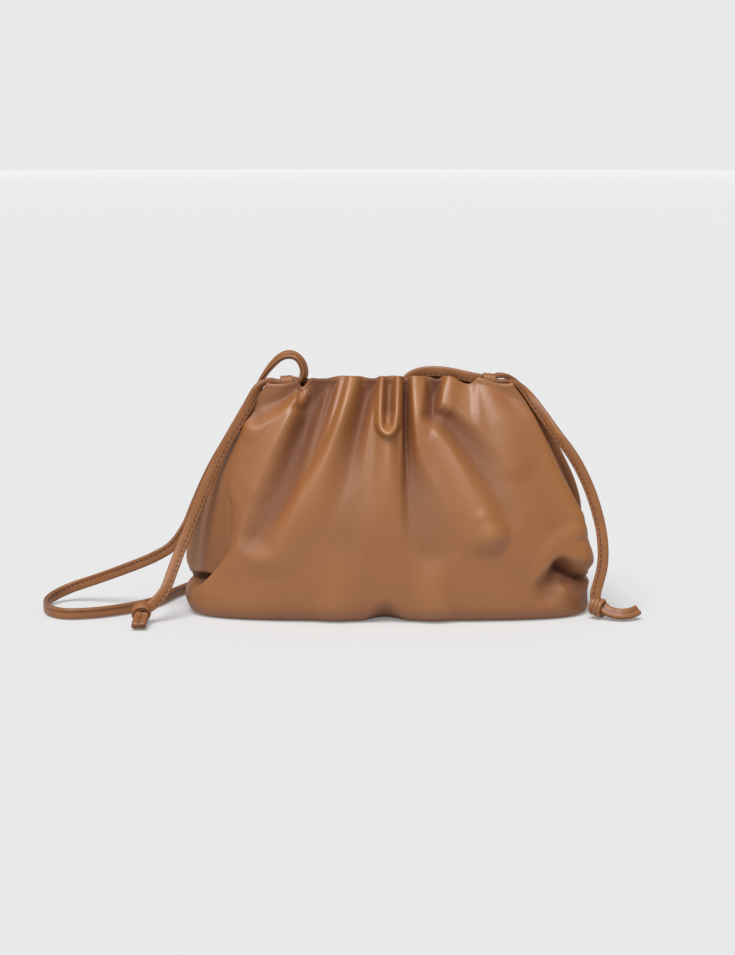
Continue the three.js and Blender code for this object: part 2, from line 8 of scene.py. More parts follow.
import bpy
import numpy as np
from bpy.props import FloatProperty, IntProperty, PointerProperty, StringProperty
from bpy.types import Operator, Panel, PropertyGroup
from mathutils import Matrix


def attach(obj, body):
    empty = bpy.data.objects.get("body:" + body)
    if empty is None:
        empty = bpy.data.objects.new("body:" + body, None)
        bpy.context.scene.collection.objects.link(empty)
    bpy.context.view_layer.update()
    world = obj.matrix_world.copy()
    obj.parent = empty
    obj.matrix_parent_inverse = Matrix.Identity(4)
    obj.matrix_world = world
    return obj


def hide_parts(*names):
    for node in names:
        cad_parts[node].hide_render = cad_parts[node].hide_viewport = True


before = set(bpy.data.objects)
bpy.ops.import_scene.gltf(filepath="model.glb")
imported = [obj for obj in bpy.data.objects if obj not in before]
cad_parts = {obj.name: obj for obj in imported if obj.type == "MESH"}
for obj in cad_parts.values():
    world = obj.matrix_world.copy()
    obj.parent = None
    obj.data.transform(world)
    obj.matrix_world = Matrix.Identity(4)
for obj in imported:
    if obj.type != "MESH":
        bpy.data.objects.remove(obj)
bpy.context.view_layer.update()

bl_info = {
    "name": "Gathered Crossbody Bag",
    "version": (1, 0, 0),
    "blender": (4, 5, 0),
    "location": "3D View > Sidebar > Bag",
    "description": "Builds a small gathered crossbody bag in tan leather over its packed frame",
    "category": "Add Mesh",
}

BODY = "root"
MM = 0.001

# The smooth pouch under its folds, a row for each level from the floor to the mouth: height, half width,
# half depth, and the power of the superellipse, where 2 is an ellipse and more is squarer.
SECTIONS = np.array([
    (0, 122, 37.5, 3.7),
    (2.5, 126.5, 42, 3.5),
    (9, 128.5, 46.2, 3.2),
    (24, 128.5, 46.8, 2.8),
    (44, 127, 45.4, 2.65),
    (66, 119.5, 42, 2.5),
    (88, 109, 35.8, 2.4),
    (109, 100, 28.2, 2.35),
    (128, 90, 20.5, 2.3),
    (146, 79, 12.5, 2.5),
])
# The last level's height, and how far above the one before.
MOUTH_HEIGHT = 146
TOP_STRETCH = SECTIONS[-1, 0] - SECTIONS[-2, 0]

# Columns are even along the section at this share of the way up, and closer on the front.
REFERENCE_SHARE = 5 / 9
FRONT_DENSITY = 1.5
ANGLE_SAMPLES = 2881
SHARE_SAMPLES = 2001

# Heights of the rows at the base's edge and of the first one above them, and the base's rings as shares.
BASE_ROWS = (0, 0.5, 1.2, 2.2)
FIRST_WALL_ROW = 3.4
BASE_SCALES = np.array([0.02, 0.3, 0.6, 0.85, 0.97])

# Where the hem dips: face (-1 front, 1 back, 0 both), x, half width to the left and right, and drop.
HEM_DIPS = {
    "left knot": (0, -72, 20, 20, 4.5),
    "right knot": (0, 72, 20, 20, 4.5),
    "loop notch": (-1, -54.8, 4.6, 5.4, 6),
    "folded lip": (-1, 49, 13, 7, 5),
}
# A dip fades out this far below the mouth.
HEM_REACH = 40

# Near its edge the hem rolls in, less by the wrapped knots. The front is lifted above the back, and crests by
# a share of their rise. Each side of the mouth keeps a soft gap from the middle, wider by the knots.
ROLL_REACH = 26
ROLL_IN = 10
ROLL_BY_KNOTS = 0.8
BY_KNOTS = (42, 60)
FRONT_LIFT = 1.6
CREST_LIFT = 0.15
HEM_GAP = 3.2
KNOT_GAP = 2.2
GAP_SOFTNESS = 2

# Under the rim lie a raised welt and a fine groove: how far below it, half width and rise.
HEM_LINES = ((1.2, 1.6, 0.25), (3.2, 0.8, -0.12))
RIM_STEPS = 8

# Rows of the inner side: the first and last share of the way up, and how many. Between two shares the wall
# thickens to the hem, and from SUEDE_ROW on it is suede.
INNER_HEM = (1, 0.93, 14)
INNER_WALL = (0.92, 0.012, 46)
HEM_THICKENS = (0.93, 0.95)
SUEDE_ROW = 12

# Each side is pushed in between a front and a back crease, in degrees round the section from the middle of
# the side with the front positive: height, front crease, deepest line, back crease, depth.
LEFT_GUSSET = np.array([
    (15, 27, 17, -14, 0),
    (19.5, 30, 18, -14, 8),
    (25, 35, 20, -14, 15),
    (33, 41, 23, -14, 18),
    (45, 46, 26, -14, 19),
    (68, 46, 25, -14, 11.5),
    (84, 42, 20, -14, 3),
    (96, 40, 18, -14, 1),
    (122, 32, 6, -16, 0.8),
    (146, 28, 2, -20, 0.8),
])
RIGHT_GUSSET = np.array([
    (18, 16, 0, -30, 0),
    (24, 16, 0, -30, 8),
    (32, 16, -2, -34, 13),
    (60, 18, -4, -36, 12),
    (95, 18, -4, -34, 7),
    (122, 18, -2, -28, 3),
    (146, 20, -2, -28, 2),
])
# How rounded the flanks between the creases are: 0 is straight, 1 a smooth S.
CREASE_SOFTNESS = 0.12
# How many degrees further out each crease is on the inner side, and how far a push darkens the leather
# as painted shade in the tucked side.
INNER_SPREAD = 5
TUCK_SHADE = 0.15

# The folds, a row for each ridge (rise above 0) or valley (rise below 0): the line's ends x0, z0 and x1, z1,
# how far it bows, the half width to its left and right at each end, and the rise at each end. Narrow on one
# side and wide on the other is a fold that laps over its neighbour.
FRONT_FOLDS = {
    "corner valley": (-60, 143, -84, 126, 0, 9, 8, 10, 9, -6.5, -4),
    "panel crest": (-55, 140, -86, 118, -2, 8, 9, 12, 12, 4, 2.5),
    "left panel": (-62, 126, -82, 84, 0, 14, 9, 16, 12, 3, 1.5),
    "left valley": (-41, 150, -80, 52, 0.5, 12, 9, 17, 14, -11, -4),
    "left strip": (-42, 150, -44, 136, 0, 4.5, 4, 5, 4.5, 2, 1),
    "left seam": (-33.5, 150, -64, 80, 3, 5.5, 3.8, 10, 7, -6.5, -1),
    "left ridge": (-24, 150, -77, 46, 8, 3.8, 13, 12, 25, 7.5, 3.2),
    "inner left valley": (-9, 150, -31, 58, -4.5, 10, 6, 16, 15, -9, 0),
    "centre ribbon": (-1, 121, -1, 44, 0, 10, 7, 18, 14, 5, 0),
    "deep crease": (10.4, 150, 17, 20, -2.4, 2.6, 3.4, 9, 20, -8, 0),
    "crease line": (10.4, 150, 13.4, 48, -1.7, 2, 2.2, 3.2, 4, -13, 0),
    "low crease": (11, 104, 24, 46, 0, 4, 9, 14, 24, -4, -1.6),
    "low left fold": (-24, 78, -28, 10, 0, 16, 10, 22, 10, -1, -1.1),
    "right of crease": (14.6, 150, 21, 86, -1, 5, 11, 11, 17, 6.5, 0),
    "right pocket": (31, 150, 26.5, 126, 0, 9, 3.2, 9, 5, -11, -8),
    "right panel edge": (37.5, 150, 32, 134, 0, 4, 17, 4.5, 15, 7, 3.5),
    "right panel roll": (46, 144, 44, 132, 0, 10, 12, 12, 12, 3.4, 1.5),
    "right ridge": (30, 114, 61.5, 60, 2, 13, 12, 26, 13, 2.4, 5),
    "right ridge end": (57.5, 66, 62, 56, 0, 14, 12, 17, 14, 5, 6.4),
    "pocket foot": (31, 124, 46, 112, 0, 8, 10, 10, 12, -5, -3),
    "right valley": (37, 120, 69, 68, 3, 9, 14, 14, 18, -6, -1),
    "outer right ridge": (60, 148, 78, 98, 2, 9, 9, 14, 14, 2, 1.5),
    "left foot swell": (-27, 58, -33, 8, 0, 15, 15, 18, 18, 0, 3.5),
    "foot dent": (-3, 16, -3, -3, 0, 6, 6, 17, 17, 0, -11),
    "right foot swell": (23, 50, 27, 8, 0, 14, 14, 16, 16, 0, 3.5),
    "corner brow": (113, 53, 95, 28, -4, 10, 10, 10, 10, 1.6, 1),
    "corner lobe": (124, 35, 108, 43, 0, 12, 7, 12, 7, 3.4, 2),
    "corner scoop": (105, 31.5, 98, 20, 0, 8, 12, 12, 13, -7.5, -3),
    "corner slit": (124, 23.5, 107.5, 32, 0.8, 2.8, 3.2, 3.2, 3.8, -8, -12),
    "corner pinch": (124, 23, 107.5, 33, 0.8, 2.8, 12, 6.5, 12, -4.5, -8),
}
BACK_FOLDS = {
    "back ridge 1": (-62, 147, -80, 84, 0, 10, 10, 13, 13, 4, 2),
    "back valley 1": (-46, 147, -66, 72, -3, 10, 10, 11, 11, -5, -3),
    "back ridge 2": (-29, 147, -46, 56, -3, 11, 11, 12, 12, 6, 4),
    "back valley 2": (-13, 147, -20, 84, 0, 9, 9, 12, 12, -5, -2),
    "back ridge 3": (2, 147, 1, 90, 0, 10, 10, 12, 12, 6, 2),
    "back valley 3": (17, 147, 24, 64, 0, 9, 9, 12, 12, -5, -3),
    "back ridge 4": (32, 147, 50, 54, 3, 11, 11, 12, 12, 6, 4),
    "back valley 4": (48, 147, 66, 84, 2, 9, 9, 12, 12, -5, -2),
    "back ridge 5": (62, 146, 80, 96, 0, 9, 9, 13, 13, 4, 2),
    "back left foot swell": (-30, 56, -36, 8, 0, 15, 15, 18, 18, 1.5, 4),
    "back right foot swell": (26, 52, 31, 8, 0, 15, 15, 18, 18, 1.5, 4),
}
# The folds of the two sides, with y in place of x.
LEFT_FOLDS = {
    "front edge": (-20, 88, -30, 16, 0, 9, 5.5, 10, 5.5, 0.5, 3),
    "back edge": (12, 124, 14, 30, 0, 13, 13, 15, 15, 2.5, 5.5),
    "pocket": (-26, 21.5, -15, 21, 0, 3, 4.5, 3, 5, -8, -26),
    "lower lip": (-30, 11, 12, 11, 0, 8, 8, 8, 8, 1.2, 1),
    "lip": (-15, 21, 14, 18.5, 0, 2.6, 5, 2.4, 2.6, -22, -3),
}
RIGHT_FOLDS = {
    "upper front edge": (-12, 124, -19, 64, 0, 9, 9, 10, 10, 3, 5.6),
    "lower front edge": (-19, 64, -24, 34, 0, 10, 10, 10, 10, 5.6, 2.6),
    "pinch": (-38, 23, 4, 19, 0, 4, 5, 4, 5, -2.5, 0),
    "corner tuck": (-26, 12, 20, 12, 0, 14, 13, 14, 13, -3.2, -2.4),
}
# The loop of hem that hangs at the middle, a raised U round a recess: the ends of its axis, the U's radius,
# the half width and rise of its rim, and the recess's half width and rise.
KEYHOLE = (0.2, 153, -1.4, 122.4, 5.2, 4, 5.5, 4.4, -4.5)
# The power of the folds' soft union, and how far the wall faces a fold's way where none or all of it acts.
FOLD_BLEND = 4
FACING = (0.1, 0.6)
# Tone of flat leather, the most that folds change it, and the rise that gives three quarters of that. The
# tone paints shade into the valleys and a highlight along the crests.
FLAT_TONE = 0.35
FOLD_TONE = 0.5
TONE_RISE = 7

# The straps' middle lines: x, y, z, then the way to the stitched edge there. Each starts or ends inside the
# knot that holds it.
SHOULDER_STRAP = np.array([
    (-63.5, 0.4, 145.6, 0, -0.7, -0.7),
    (-58.1, 0, 145.6, -0.2, -0.8, -0.4),
    (-55, 0, 147.6, -0.5, -0.8, 0),
    (-53.8, 0.5, 151.5, -0.5, -0.85, 0),
    (-55.2, 1, 156.8, -0.4, -0.85, -0.2),
    (-58.6, 2, 160.6, -0.1, -0.85, -0.4),
    (-63.4, 3, 162, 0, -0.85, -0.5),
    (-68.8, 4, 160.2, 0.1, -0.85, -0.4),
    (-74.4, 5, 155, 0.2, -0.9, -0.2),
    (-80, 6, 147.4, 0.1, -1, 0),
    (-84.6, 6.5, 138.5, 0, -1, 0),
    (-91.8, 8, 126, -0.1, -1, 0.1),
    (-100.1, 8.2, 112.4, -0.3, -0.9, 0.2),
    (-109.2, 6, 97, -0.5, -0.75, 0.3),
    (-116.6, 3.2, 82, -0.65, -0.55, 0.4),
    (-123, 0, 67, -0.75, -0.3, 0.4),
    (-129, -3, 53, -0.75, -0.1, 0.5),
    (-138, -5, 41, -0.6, 0, 0.8),
    (-150, -5, 33.5, -0.4, 0, 0.9),
    (-168, 1, 25, -0.2, 0, 1),
    (-188, 10.5, 16, 0, 0, 1),
    (-206, 14.5, 9, 0, 0, 1),
    (-216.5, 6.5, 5, 0, 0, 1),
    (-218.5, -9, 4, 0, 0, 1),
    (-213.5, -26, 4, 0, 0, 1),
    (-202, -35, 4, 0, 0, 1),
    (-184, -32, 4, 0, 0, 1),
    (-165, -20, 4, 0, 0, 1),
    (-149, -2, 4, 0, 0, 1),
    (-136, 30, 4, 0, 0, 1),
    (-116, 62, 4, 0, 0, 1),
    (-80, 84, 4, 0, 0, 1),
    (-36, 94, 4, 0, 0, 1),
    (12, 96, 4, 0, 0, 1),
    (58, 88, 4, 0, 0, 1),
    (94, 70, 6, -0.3, 0, 1),
    (113, 52, 19, -0.8, 0, 0.6),
    (120, 38, 39, -1, 0, 0.1),
    (121, 28, 59, -1, 0, -0.1),
    (116, 20, 78, -0.9, 0, -0.3),
    (107.5, 15, 96, -0.9, 0, -0.4),
    (98, 12.5, 114, -0.85, 0.1, -0.5),
    (89, 11.8, 129.5, -0.8, 0.3, -0.5),
    (81.5, 10.2, 140.5, -0.6, 0.7, -0.4),
    (74.6, 6.4, 147.2, -0.2, 1, -0.2),
    (68.6, 3, 148.8, 0, 1, 0),
    (63.5, 1, 147.4, 0, 1, 0),
])
LEFT_STRAP_END = np.array([
    (-66, -0.4, 144.8, 0, 1, 0),
    (-71.2, 0, 145.2, 0, 1, 0),
    (-75, -0.8, 146, 0, 1, 0),
    (-79, -2.2, 145, 0.3, 1, 0),
    (-83.6, -5.4, 140.5, 0.6, 0.7, -0.4),
    (-89.4, -8, 130, 0.8, 0.3, -0.5),
    (-97.7, -10.2, 116, 0.85, 0, -0.5),
    (-106.8, -12.4, 100, 0.85, 0, -0.5),
    (-115, -15.2, 82, 0.9, 0, -0.4),
    (-122.6, -19, 63, 0.9, 0, -0.3),
    (-129.8, -25, 46, 0.95, 0, -0.2),
    (-135.5, -32, 31, 0.95, 0, -0.2),
    (-140, -38.5, 19.5, 0.8, 0, -0.5),
    (-147.4, -43.2, 11.6, 0.5, 0, -0.8),
    (-151.5, -43.8, 9.6, 0.5, 0, -0.8),
])
RIGHT_STRAP_END = np.array([
    (63.5, -0.8, 145.6, 0, -1, 0),
    (68.4, -1, 145.2, 0, -1, 0),
    (73, 0.2, 144.9, 0, -1, 0),
    (78.6, 2.6, 143.4, -0.3, -0.9, -0.2),
    (85.6, 4.8, 137.4, -0.6, -0.6, -0.4),
    (93.9, 1.2, 127.4, -0.8, 0, -0.6),
    (103.9, -7.6, 114, -0.8, 0.4, -0.6),
    (114.5, -15, 100, -0.85, 0.4, -0.5),
    (123, -18.5, 84, -0.9, 0.4, -0.4),
    (129, -22, 67, -0.95, 0.25, -0.3),
    (132.6, -25.5, 49.5, -1, 0, -0.1),
    (132.6, -28.5, 33, -1, 0, 0),
    (128.4, -31.5, 16.1, -1, 0, 0),
    (129.4, -31.8, 11.4, -1, 0, 0),
])
MOUTH_CORD = np.array([
    (9, 3.5, 142, 0, 0, -1),
    (12.5, 4.5, 147.2, 0.4, 0, -0.9),
    (18.5, 5, 150, 0.2, 0, -1),
    (26, 4.5, 151, 0, 0, -1),
    (34, 3.5, 150.8, 0, 0, -1),
    (42, 2, 149.6, 0, 0, -1),
    (50, 0.6, 148, 0, 0, -1),
    (56.4, 0, 146.8, 0, 0, -1),
    (61, 0, 146.2, 0, 0, -1),
])

# The wrapped knots: the middle, and how many degrees the axis rises to the right.
SLIDE_KNOTS = {
    "left_slide_knot": ((-64.6, 0, 145), 4),
    "right_slide_knot": ((62.2, 0, 146.4), -6),
}
# The overhand knots: the middle, the way back up the strand, the tail's points and its width in strap widths.
END_KNOTS = {
    "left_end_knot": (
        (-154, -45, 7.4),
        (0.72, 0.34, 0.6),
        ((-153.8, -51.5, 5.4), (-154, -57, 4.4), (-154, -64, 3.2)),
        1.3,
    ),
    "right_end_knot": (
        (130, -32, 7.6),
        (-0.1, 0.1, 1),
        ((137, -36.5, 5.4), (143, -39, 4.6), (149.4, -37.4, 4.8), (154.5, -33, 5.6)),
        1,
    ),
}

# The cords: the rows, which way the stitched face looks, the far end, the lie, and the knots on them.
CORDS = {
    "shoulder_strap": (
        SHOULDER_STRAP, 1, "object", "loose", ("left_slide_knot_wraps", "right_slide_knot_wraps")
    ),
    "left_strap_end": (LEFT_STRAP_END, -1, "knot", "hanging", ("left_end_knot_tied",)),
    "right_strap_end": (RIGHT_STRAP_END, 1, "knot", "hanging", ("right_end_knot_tied",)),
    "mouth_cord": (MOUTH_CORD, 1, "object", "loose", ()),
}

# The folded strap's section in shares of its width and thickness: its powers, the half width and depth of
# the stitch row and the raw edge's groove, the rounded edge's start and end, and the half height and start of
# the slit between the layers, whose depth is in millimetres.
PROFILE_POINTS = 44
PROFILE_POWERS = (0.5, 0.55)
STITCH_PRESS = (0.1, 0.2)
GROOVE = (0.075, 0.42)
ROUNDED_EDGE = (0.44, 0.5)
SLIT = (0.24, 0.4)
SLIT_DEPTH = 0.4
# How much of the raw edge's colour the stitch row and rounded edges take, and how many widths from the middle
# that row lies on a strap and on a tail.
PRESS_SHADE = 0.55
EDGE_SHADE = 0.4
STITCH_ROW = 0.22
TAIL_ROW = 0.03

# A stitch: the thread's radius, rings from -1 to 1, sides, half length in spacings, height in half
# thicknesses, and the least square of its relative radius.
THREAD_RADIUS = 0.48
STITCH_RINGS = np.array([-1, -0.8, 0, 0.8, 1])
STITCH_SIDES = 6
STITCH_HALF = 0.27
STITCH_HEIGHT = 0.79
STITCH_TIP = 0.06

# Steps to each stretch of a strap, and how far from its end and by what share it narrows.
STRAP_STEPS = 9
END_TAPER = 7
END_NARROWING = 0.4

# The wrapped knots' winding: the band's width and thickness, the points, turns, first angle, radius and
# length, and how far the ends sink in over what share of the way.
WRAP_BAND = (3.4, 1.9)
WRAP_POINTS = 181
WRAP_TURNS = 3.15
WRAP_START = -0.5 * math.pi
WRAP_RADIUS = 3.25
WRAP_LENGTH = 6.7
WRAP_SINK = 1.3
WRAP_SINK_SHARE = 0.07

# The overhand knots' winding: the points, turns, last angle, radius and length, the shares of the way over
# which its start and end sink in, and the shares of the radius left there and of the strap's width.
KNOT_STEPS = 150
KNOT_TURNS = 2.6
KNOT_END = 0.5
KNOT_RADIUS = 4.4
KNOT_LENGTH = 6.6
KNOT_SINKS = (0.2, 0.14)
KNOT_SUNK = 0.2
KNOT_WIDTH = 0.84
# Their tails: steps to each point, the steps past the winding between which they turn flat, where the face
# then looks, how much they swell, and their lowest height.
TAIL_STEPS = 12
TAIL_TURNS_FLAT = (-12, 4)
TAIL_FACE = np.array([0, -0.8, 0.6])
TAIL_SWELL = 0.2
TAIL_LOWEST = 0.25

# The studio in metres: its radius, the floor's rings as shares of it, its sides, the backdrop's heights.
STUDIO_RADIUS = 8
FLOOR_RINGS = np.array([0.001, 0.05, 0.3, 1])[:, None]
STUDIO_SIDES = 96
BACKDROP_HEIGHTS = np.array([-0.01, 0.8])[:, None]


# Settings that a user would change.


class PouchSettings(PropertyGroup):
    """Sizes and colours of the pouch."""

    leather: StringProperty(
        name="Leather", description="Colour of the pouch's leather, sRGB hex", default="#895327"
    )
    # Painted shade deep in the folds, which is also the dark end of the suede's nap.
    painted_fold_shade_and_nap: StringProperty(
        name="Fold shade", description="Colour of the leather deep in its folds", default="#5A2B0A"
    )
    # Painted highlight along the crests.
    painted_crest_highlight: StringProperty(
        name="Painted crest highlight", description="Colour of the leather on its crests", default="#96602F"
    )
    suede: StringProperty(
        name="Suede", description="Colour of the leather's rough inner side", default="#6B452C"
    )
    thickness: FloatProperty(
        name="Leather thickness", description="Thickness of the wall", default=1.8 * MM, unit="LENGTH"
    )
    hem_thickness: FloatProperty(
        name="Hem thickness", description="Thickness of the rolled hem", default=2.6 * MM, unit="LENGTH"
    )
    columns: IntProperty(name="Columns", description="Columns round the pouch", default=430, min=48)
    rows: IntProperty(name="Rows", description="Rows from the base to the hem", default=150, min=24)


class StrapSettings(PropertyGroup):
    """Sizes and colours of the strap."""

    leather: StringProperty(
        name="Leather", description="Colour of the strap's leather, sRGB hex", default="#8A5730"
    )
    edge: StringProperty(name="Raw edge", description="Colour of the cut edge in the seam", default="#5E3820")
    thread: StringProperty(name="Thread", description="Colour of the stitches", default="#55290F")
    width: FloatProperty(
        name="Width", description="Width of the folded strap", default=6.8 * MM, unit="LENGTH"
    )
    thickness: FloatProperty(
        name="Thickness", description="Thickness of the folded strap", default=3.2 * MM, unit="LENGTH"
    )
    stitch: FloatProperty(
        name="Stitch spacing", description="From one stitch to the next", default=3.4 * MM, unit="LENGTH"
    )


class StageSettings(PropertyGroup):
    """Colours of the floor and backdrop, and strengths of the lights."""

    floor: StringProperty(name="Floor", description="Colour of the floor, sRGB hex", default="#B4B4B4")
    glow: FloatProperty(name="Floor glow", description="Light that comes up through the floor", default=0.19)
    backdrop: StringProperty(
        name="Backdrop", description="Colour of the lit backdrop, sRGB hex", default="#E9E9E9"
    )
    ambient: FloatProperty(name="Ambient", description="Strength of the even light", default=0.38)
    key: FloatProperty(name="Key light", description="Strength of the overhead light", default=3.6)
    softness: FloatProperty(
        name="Key softness",
        description="How wide the overhead light is, as seen from the bag",
        default=math.radians(38),
        subtype="ANGLE",
    )


# Small helpers.


def linear(hex_colour):
    """An sRGB hex colour as linear RGBA. The sRGB curve is straight near black and a power above."""
    srgb = [int(hex_colour[place:place + 2], 16) / 255 for place in (1, 3, 5)]
    return [c / 12.92 if c <= 0.04045 else ((c + 0.055) / 1.055) ** 2.4 for c in srgb] + [1.0]


def smoothstep(value, low, high):
    """0 below low, 1 above high, and a smooth S between them."""
    share = np.clip((value - low) / (high - low), 0, 1)
    return share * share * (3 - 2 * share)


def unit(vectors):
    """Vectors scaled to length 1."""
    return vectors / np.linalg.norm(vectors, axis=-1, keepdims=True)


def square_to(vectors, directions):
    """Unit vectors at right angles to unit directions, each as close as it can be to its own vector."""
    return unit(vectors - directions * np.sum(vectors * directions, axis=-1, keepdims=True))


def signed_power(value, power):
    """A power of the size of value, with the sign of value."""
    return np.sign(value) * np.abs(value) ** power


def bump(distance):
    """1 in the middle, falling smoothly to 0 at a distance of 1: the square of 1 - distance squared."""
    away = np.minimum(1, distance)
    return (1 - away * away) ** 2


def spline(points, place, mirrored):
    """Uniform Catmull-Rom curve through rows of points, at fractional row numbers. Past its ends the row of
    points goes on mirrored, or else its end points are doubled."""
    first = 2 * points[0] - points[1] if mirrored else points[0]
    last = 2 * points[-1] - points[-2] if mirrored else points[-1]
    rows = np.concatenate([[first], points, [last]])
    row = np.minimum(place.astype(int), len(points) - 2)
    w = (place - row)[..., None]
    p0, p1, p2, p3 = (rows[row + step] for step in range(4))
    bend = (2 * p0 - 5 * p1 + 4 * p2 - p3) * w ** 2 + (3 * p1 - p0 - 3 * p2 + p3) * w ** 3
    return 0.5 * (2 * p1 + (p2 - p0) * w + bend)


def grid_faces(rows, columns):
    """Quads between rings of points that are numbered ring by ring, each ring closed."""
    row, column = np.meshgrid(np.arange(rows - 1), np.arange(columns), indexing="ij")
    beside = (column + 1) % columns
    low, high = row * columns, (row + 1) * columns
    return np.stack([low + column, low + beside, high + beside, high + column], -1).reshape(-1, 4)


def tube_faces(rows, columns):
    """The quads between rings, then a face over the first ring and one over the last."""
    last = (rows - 1) * columns
    caps = [list(range(columns))[::-1], list(range(last, last + columns))]
    return grid_faces(rows, columns).tolist() + caps


def add_piece(name, node, points, faces, materials, shade, face_material=None):
    """Puts points in millimetres and faces into a smooth mesh at the origin that rides with the bag in place
    of a node. shade is the attribute that its material reads, with its value at each point."""
    mesh = bpy.data.meshes.new(name)
    mesh.from_pydata((points * MM).tolist(), [], faces)
    for material in materials:
        mesh.materials.append(material)
    if face_material is not None:
        mesh.polygons.foreach_set("material_index", np.asarray(face_material, np.int32))
    mesh.polygons.foreach_set("use_smooth", np.ones(len(mesh.polygons), bool))
    mesh.update()
    attribute = mesh.attributes.new(shade[0], "FLOAT", "POINT")
    attribute.data.foreach_set("value", shade[1].ravel().astype(np.float32))
    piece = bpy.data.objects.new(name, mesh)
    bpy.context.scene.collection.objects.link(piece)
    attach(piece, BODY)
    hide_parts(node)
    return piece


# Materials.


def add_node(tree, kind, inputs=None, **settings):
    """Adds one shader node. settings are its own properties, inputs its sockets' values or the sockets that
    feed them."""
    node = tree.nodes.new("ShaderNode" + kind)
    for name, value in settings.items():
        setattr(node, name, value)
    for key, value in (inputs or {}).items():
        if isinstance(value, bpy.types.NodeSocket):
            tree.links.new(value, node.inputs[key])
        else:
            node.inputs[key].default_value = value
    return node


def new_material(name):
    """A material with an empty node tree, its tree, and Object coordinates."""
    material = bpy.data.materials.new(name)
    material.use_nodes = True
    tree = material.node_tree
    tree.nodes.clear()
    return material, tree, add_node(tree, "TexCoord").outputs["Object"]


def close_material(material, inputs, kind="BsdfPrincipled"):
    """Gives the material a surface shader of that kind, and returns it."""
    shader = add_node(material.node_tree, kind, inputs)
    add_node(material.node_tree, "OutputMaterial", {"Surface": shader.outputs[0]})
    return material


def noise(tree, where, size, detail, roughness=0.5):
    """The outputs of a cloudy noise of about that size in millimetres."""
    inputs = {"Vector": where, "Scale": 1 / MM / size, "Detail": detail, "Roughness": roughness}
    return add_node(tree, "TexNoise", inputs).outputs


def multiply_add(tree, value, factor, added):
    """value * factor + added."""
    inputs = {0: value, 1: factor, 2: added}
    return add_node(tree, "Math", inputs, operation="MULTIPLY_ADD").outputs[0]


def map_range(tree, value, source, target):
    """value carried from the range source to the range target."""
    names = ("Value", "From Min", "From Max", "To Min", "To Max")
    return add_node(tree, "MapRange", dict(zip(names, (value, *source, *target)))).outputs["Result"]


def colour_ramp(tree, value, colours):
    """Two or three colours at even steps, picked by value."""
    ramp = add_node(tree, "ValToRGB", {"Fac": value})
    elements = ramp.color_ramp.elements
    if len(colours) == 3:
        elements.new(0.5)
    for element, place, colour in zip(elements, np.linspace(0, 1, len(colours)), colours):
        element.position = place
        element.color = linear(colour)
    return ramp.outputs["Color"]


def raised(tree, height, depth, strength=1.0, invert=False):
    """The normal of a bump of that depth in millimetres."""
    inputs = {"Strength": strength, "Distance": depth * MM, "Height": height}
    return add_node(tree, "Bump", inputs, invert=invert).outputs["Normal"]


def leather_grain(tree, where, cell, depth):
    """Bump of a smooth leather: pebbles of the given size, with pores and fine creases between them."""
    warp = noise(tree, where, 4 * cell, 2.0)["Color"]
    reach = (0.6 * cell * MM,) * 3
    drift = add_node(tree, "VectorMath", {0: warp, 1: reach}, operation="MULTIPLY").outputs[0]
    moved = add_node(tree, "VectorMath", {0: where, 1: drift}, operation="ADD").outputs[0]
    inputs = {"Vector": moved, "Scale": 1 / MM / cell}
    pebbles = add_node(tree, "TexVoronoi", inputs, feature="SMOOTH_F1").outputs["Distance"]
    pores = noise(tree, where, 0.35 * cell, 3.0)["Fac"]
    return raised(tree, multiply_add(tree, pores, 0.35, pebbles), depth, invert=True)


def pouch_leather(pouch):
    """Smooth dyed calf leather, drum-softened: an even tan with slow cloudy changes, painted shade where it
    folds in, a painted highlight along the crests, and a broad soft sheen over a fine grain."""
    material, tree, where = new_material("dyed_calf_leather")
    fold = add_node(tree, "Attribute", attribute_name="fold_depth").outputs["Fac"]
    cloud = noise(tree, where, 46, 3.0, 0.55)["Fac"]
    mottle = noise(tree, where, 3.2, 4.0, 0.6)["Fac"]
    # The fold depth paints shade into the valleys and a highlight along the crests; cloud and mottle vary the
    # tone at random.
    tone = multiply_add(tree, mottle, 0.1, multiply_add(tree, cloud, 0.2, fold))
    return close_material(material, {
        "Base Color": colour_ramp(tree, tone, (pouch.painted_fold_shade_and_nap, pouch.leather, pouch.painted_crest_highlight)),
        "Roughness": map_range(tree, tone, (0.2, 0.55), (0.75, 0.48)),
        "Normal": leather_grain(tree, where, cell=1.2, depth=0.08),
        "IOR": 1.48,
        "Specular IOR Level": 0.8,
    })


def suede_lining(pouch):
    """The leather's brushed inner side: matt and brown, with a short nap."""
    material, tree, where = new_material("brushed_suede_side")
    nap = noise(tree, where, 0.8, 4.0, 0.7)["Fac"]
    return close_material(material, {
        "Base Color": colour_ramp(tree, nap, (pouch.painted_fold_shade_and_nap, pouch.suede)),
        "Roughness": 0.9,
        "Normal": raised(tree, nap, 0.15, strength=0.5),
        "Sheen Weight": 0.25,
    })


def strap_leather(strap):
    """A folded strip of the same leather: a finer grain, a little darker along its rounded edges, and dark in
    the seam where its raw edge shows."""
    material, tree, where = new_material("folded_strap_leather")
    seam = add_node(tree, "Attribute", attribute_name="seam").outputs["Fac"]
    tint = map_range(tree, noise(tree, where, 9, 4.0, 0.6)["Fac"], (0.3, 0.7), (0.84, 1.1))
    inputs = {0: linear(strap.leather)[:3], "Scale": tint}
    leather = add_node(tree, "VectorMath", inputs, operation="SCALE").outputs[0]
    inputs = {"Factor": seam, "A": leather, "B": linear(strap.edge)}
    colour = add_node(tree, "Mix", inputs, data_type="RGBA").outputs["Result"]
    return close_material(material, {
        "Base Color": colour,
        "Roughness": 0.46,
        "Normal": leather_grain(tree, where, cell=0.9, depth=0.08),
        "IOR": 1.48,
    })


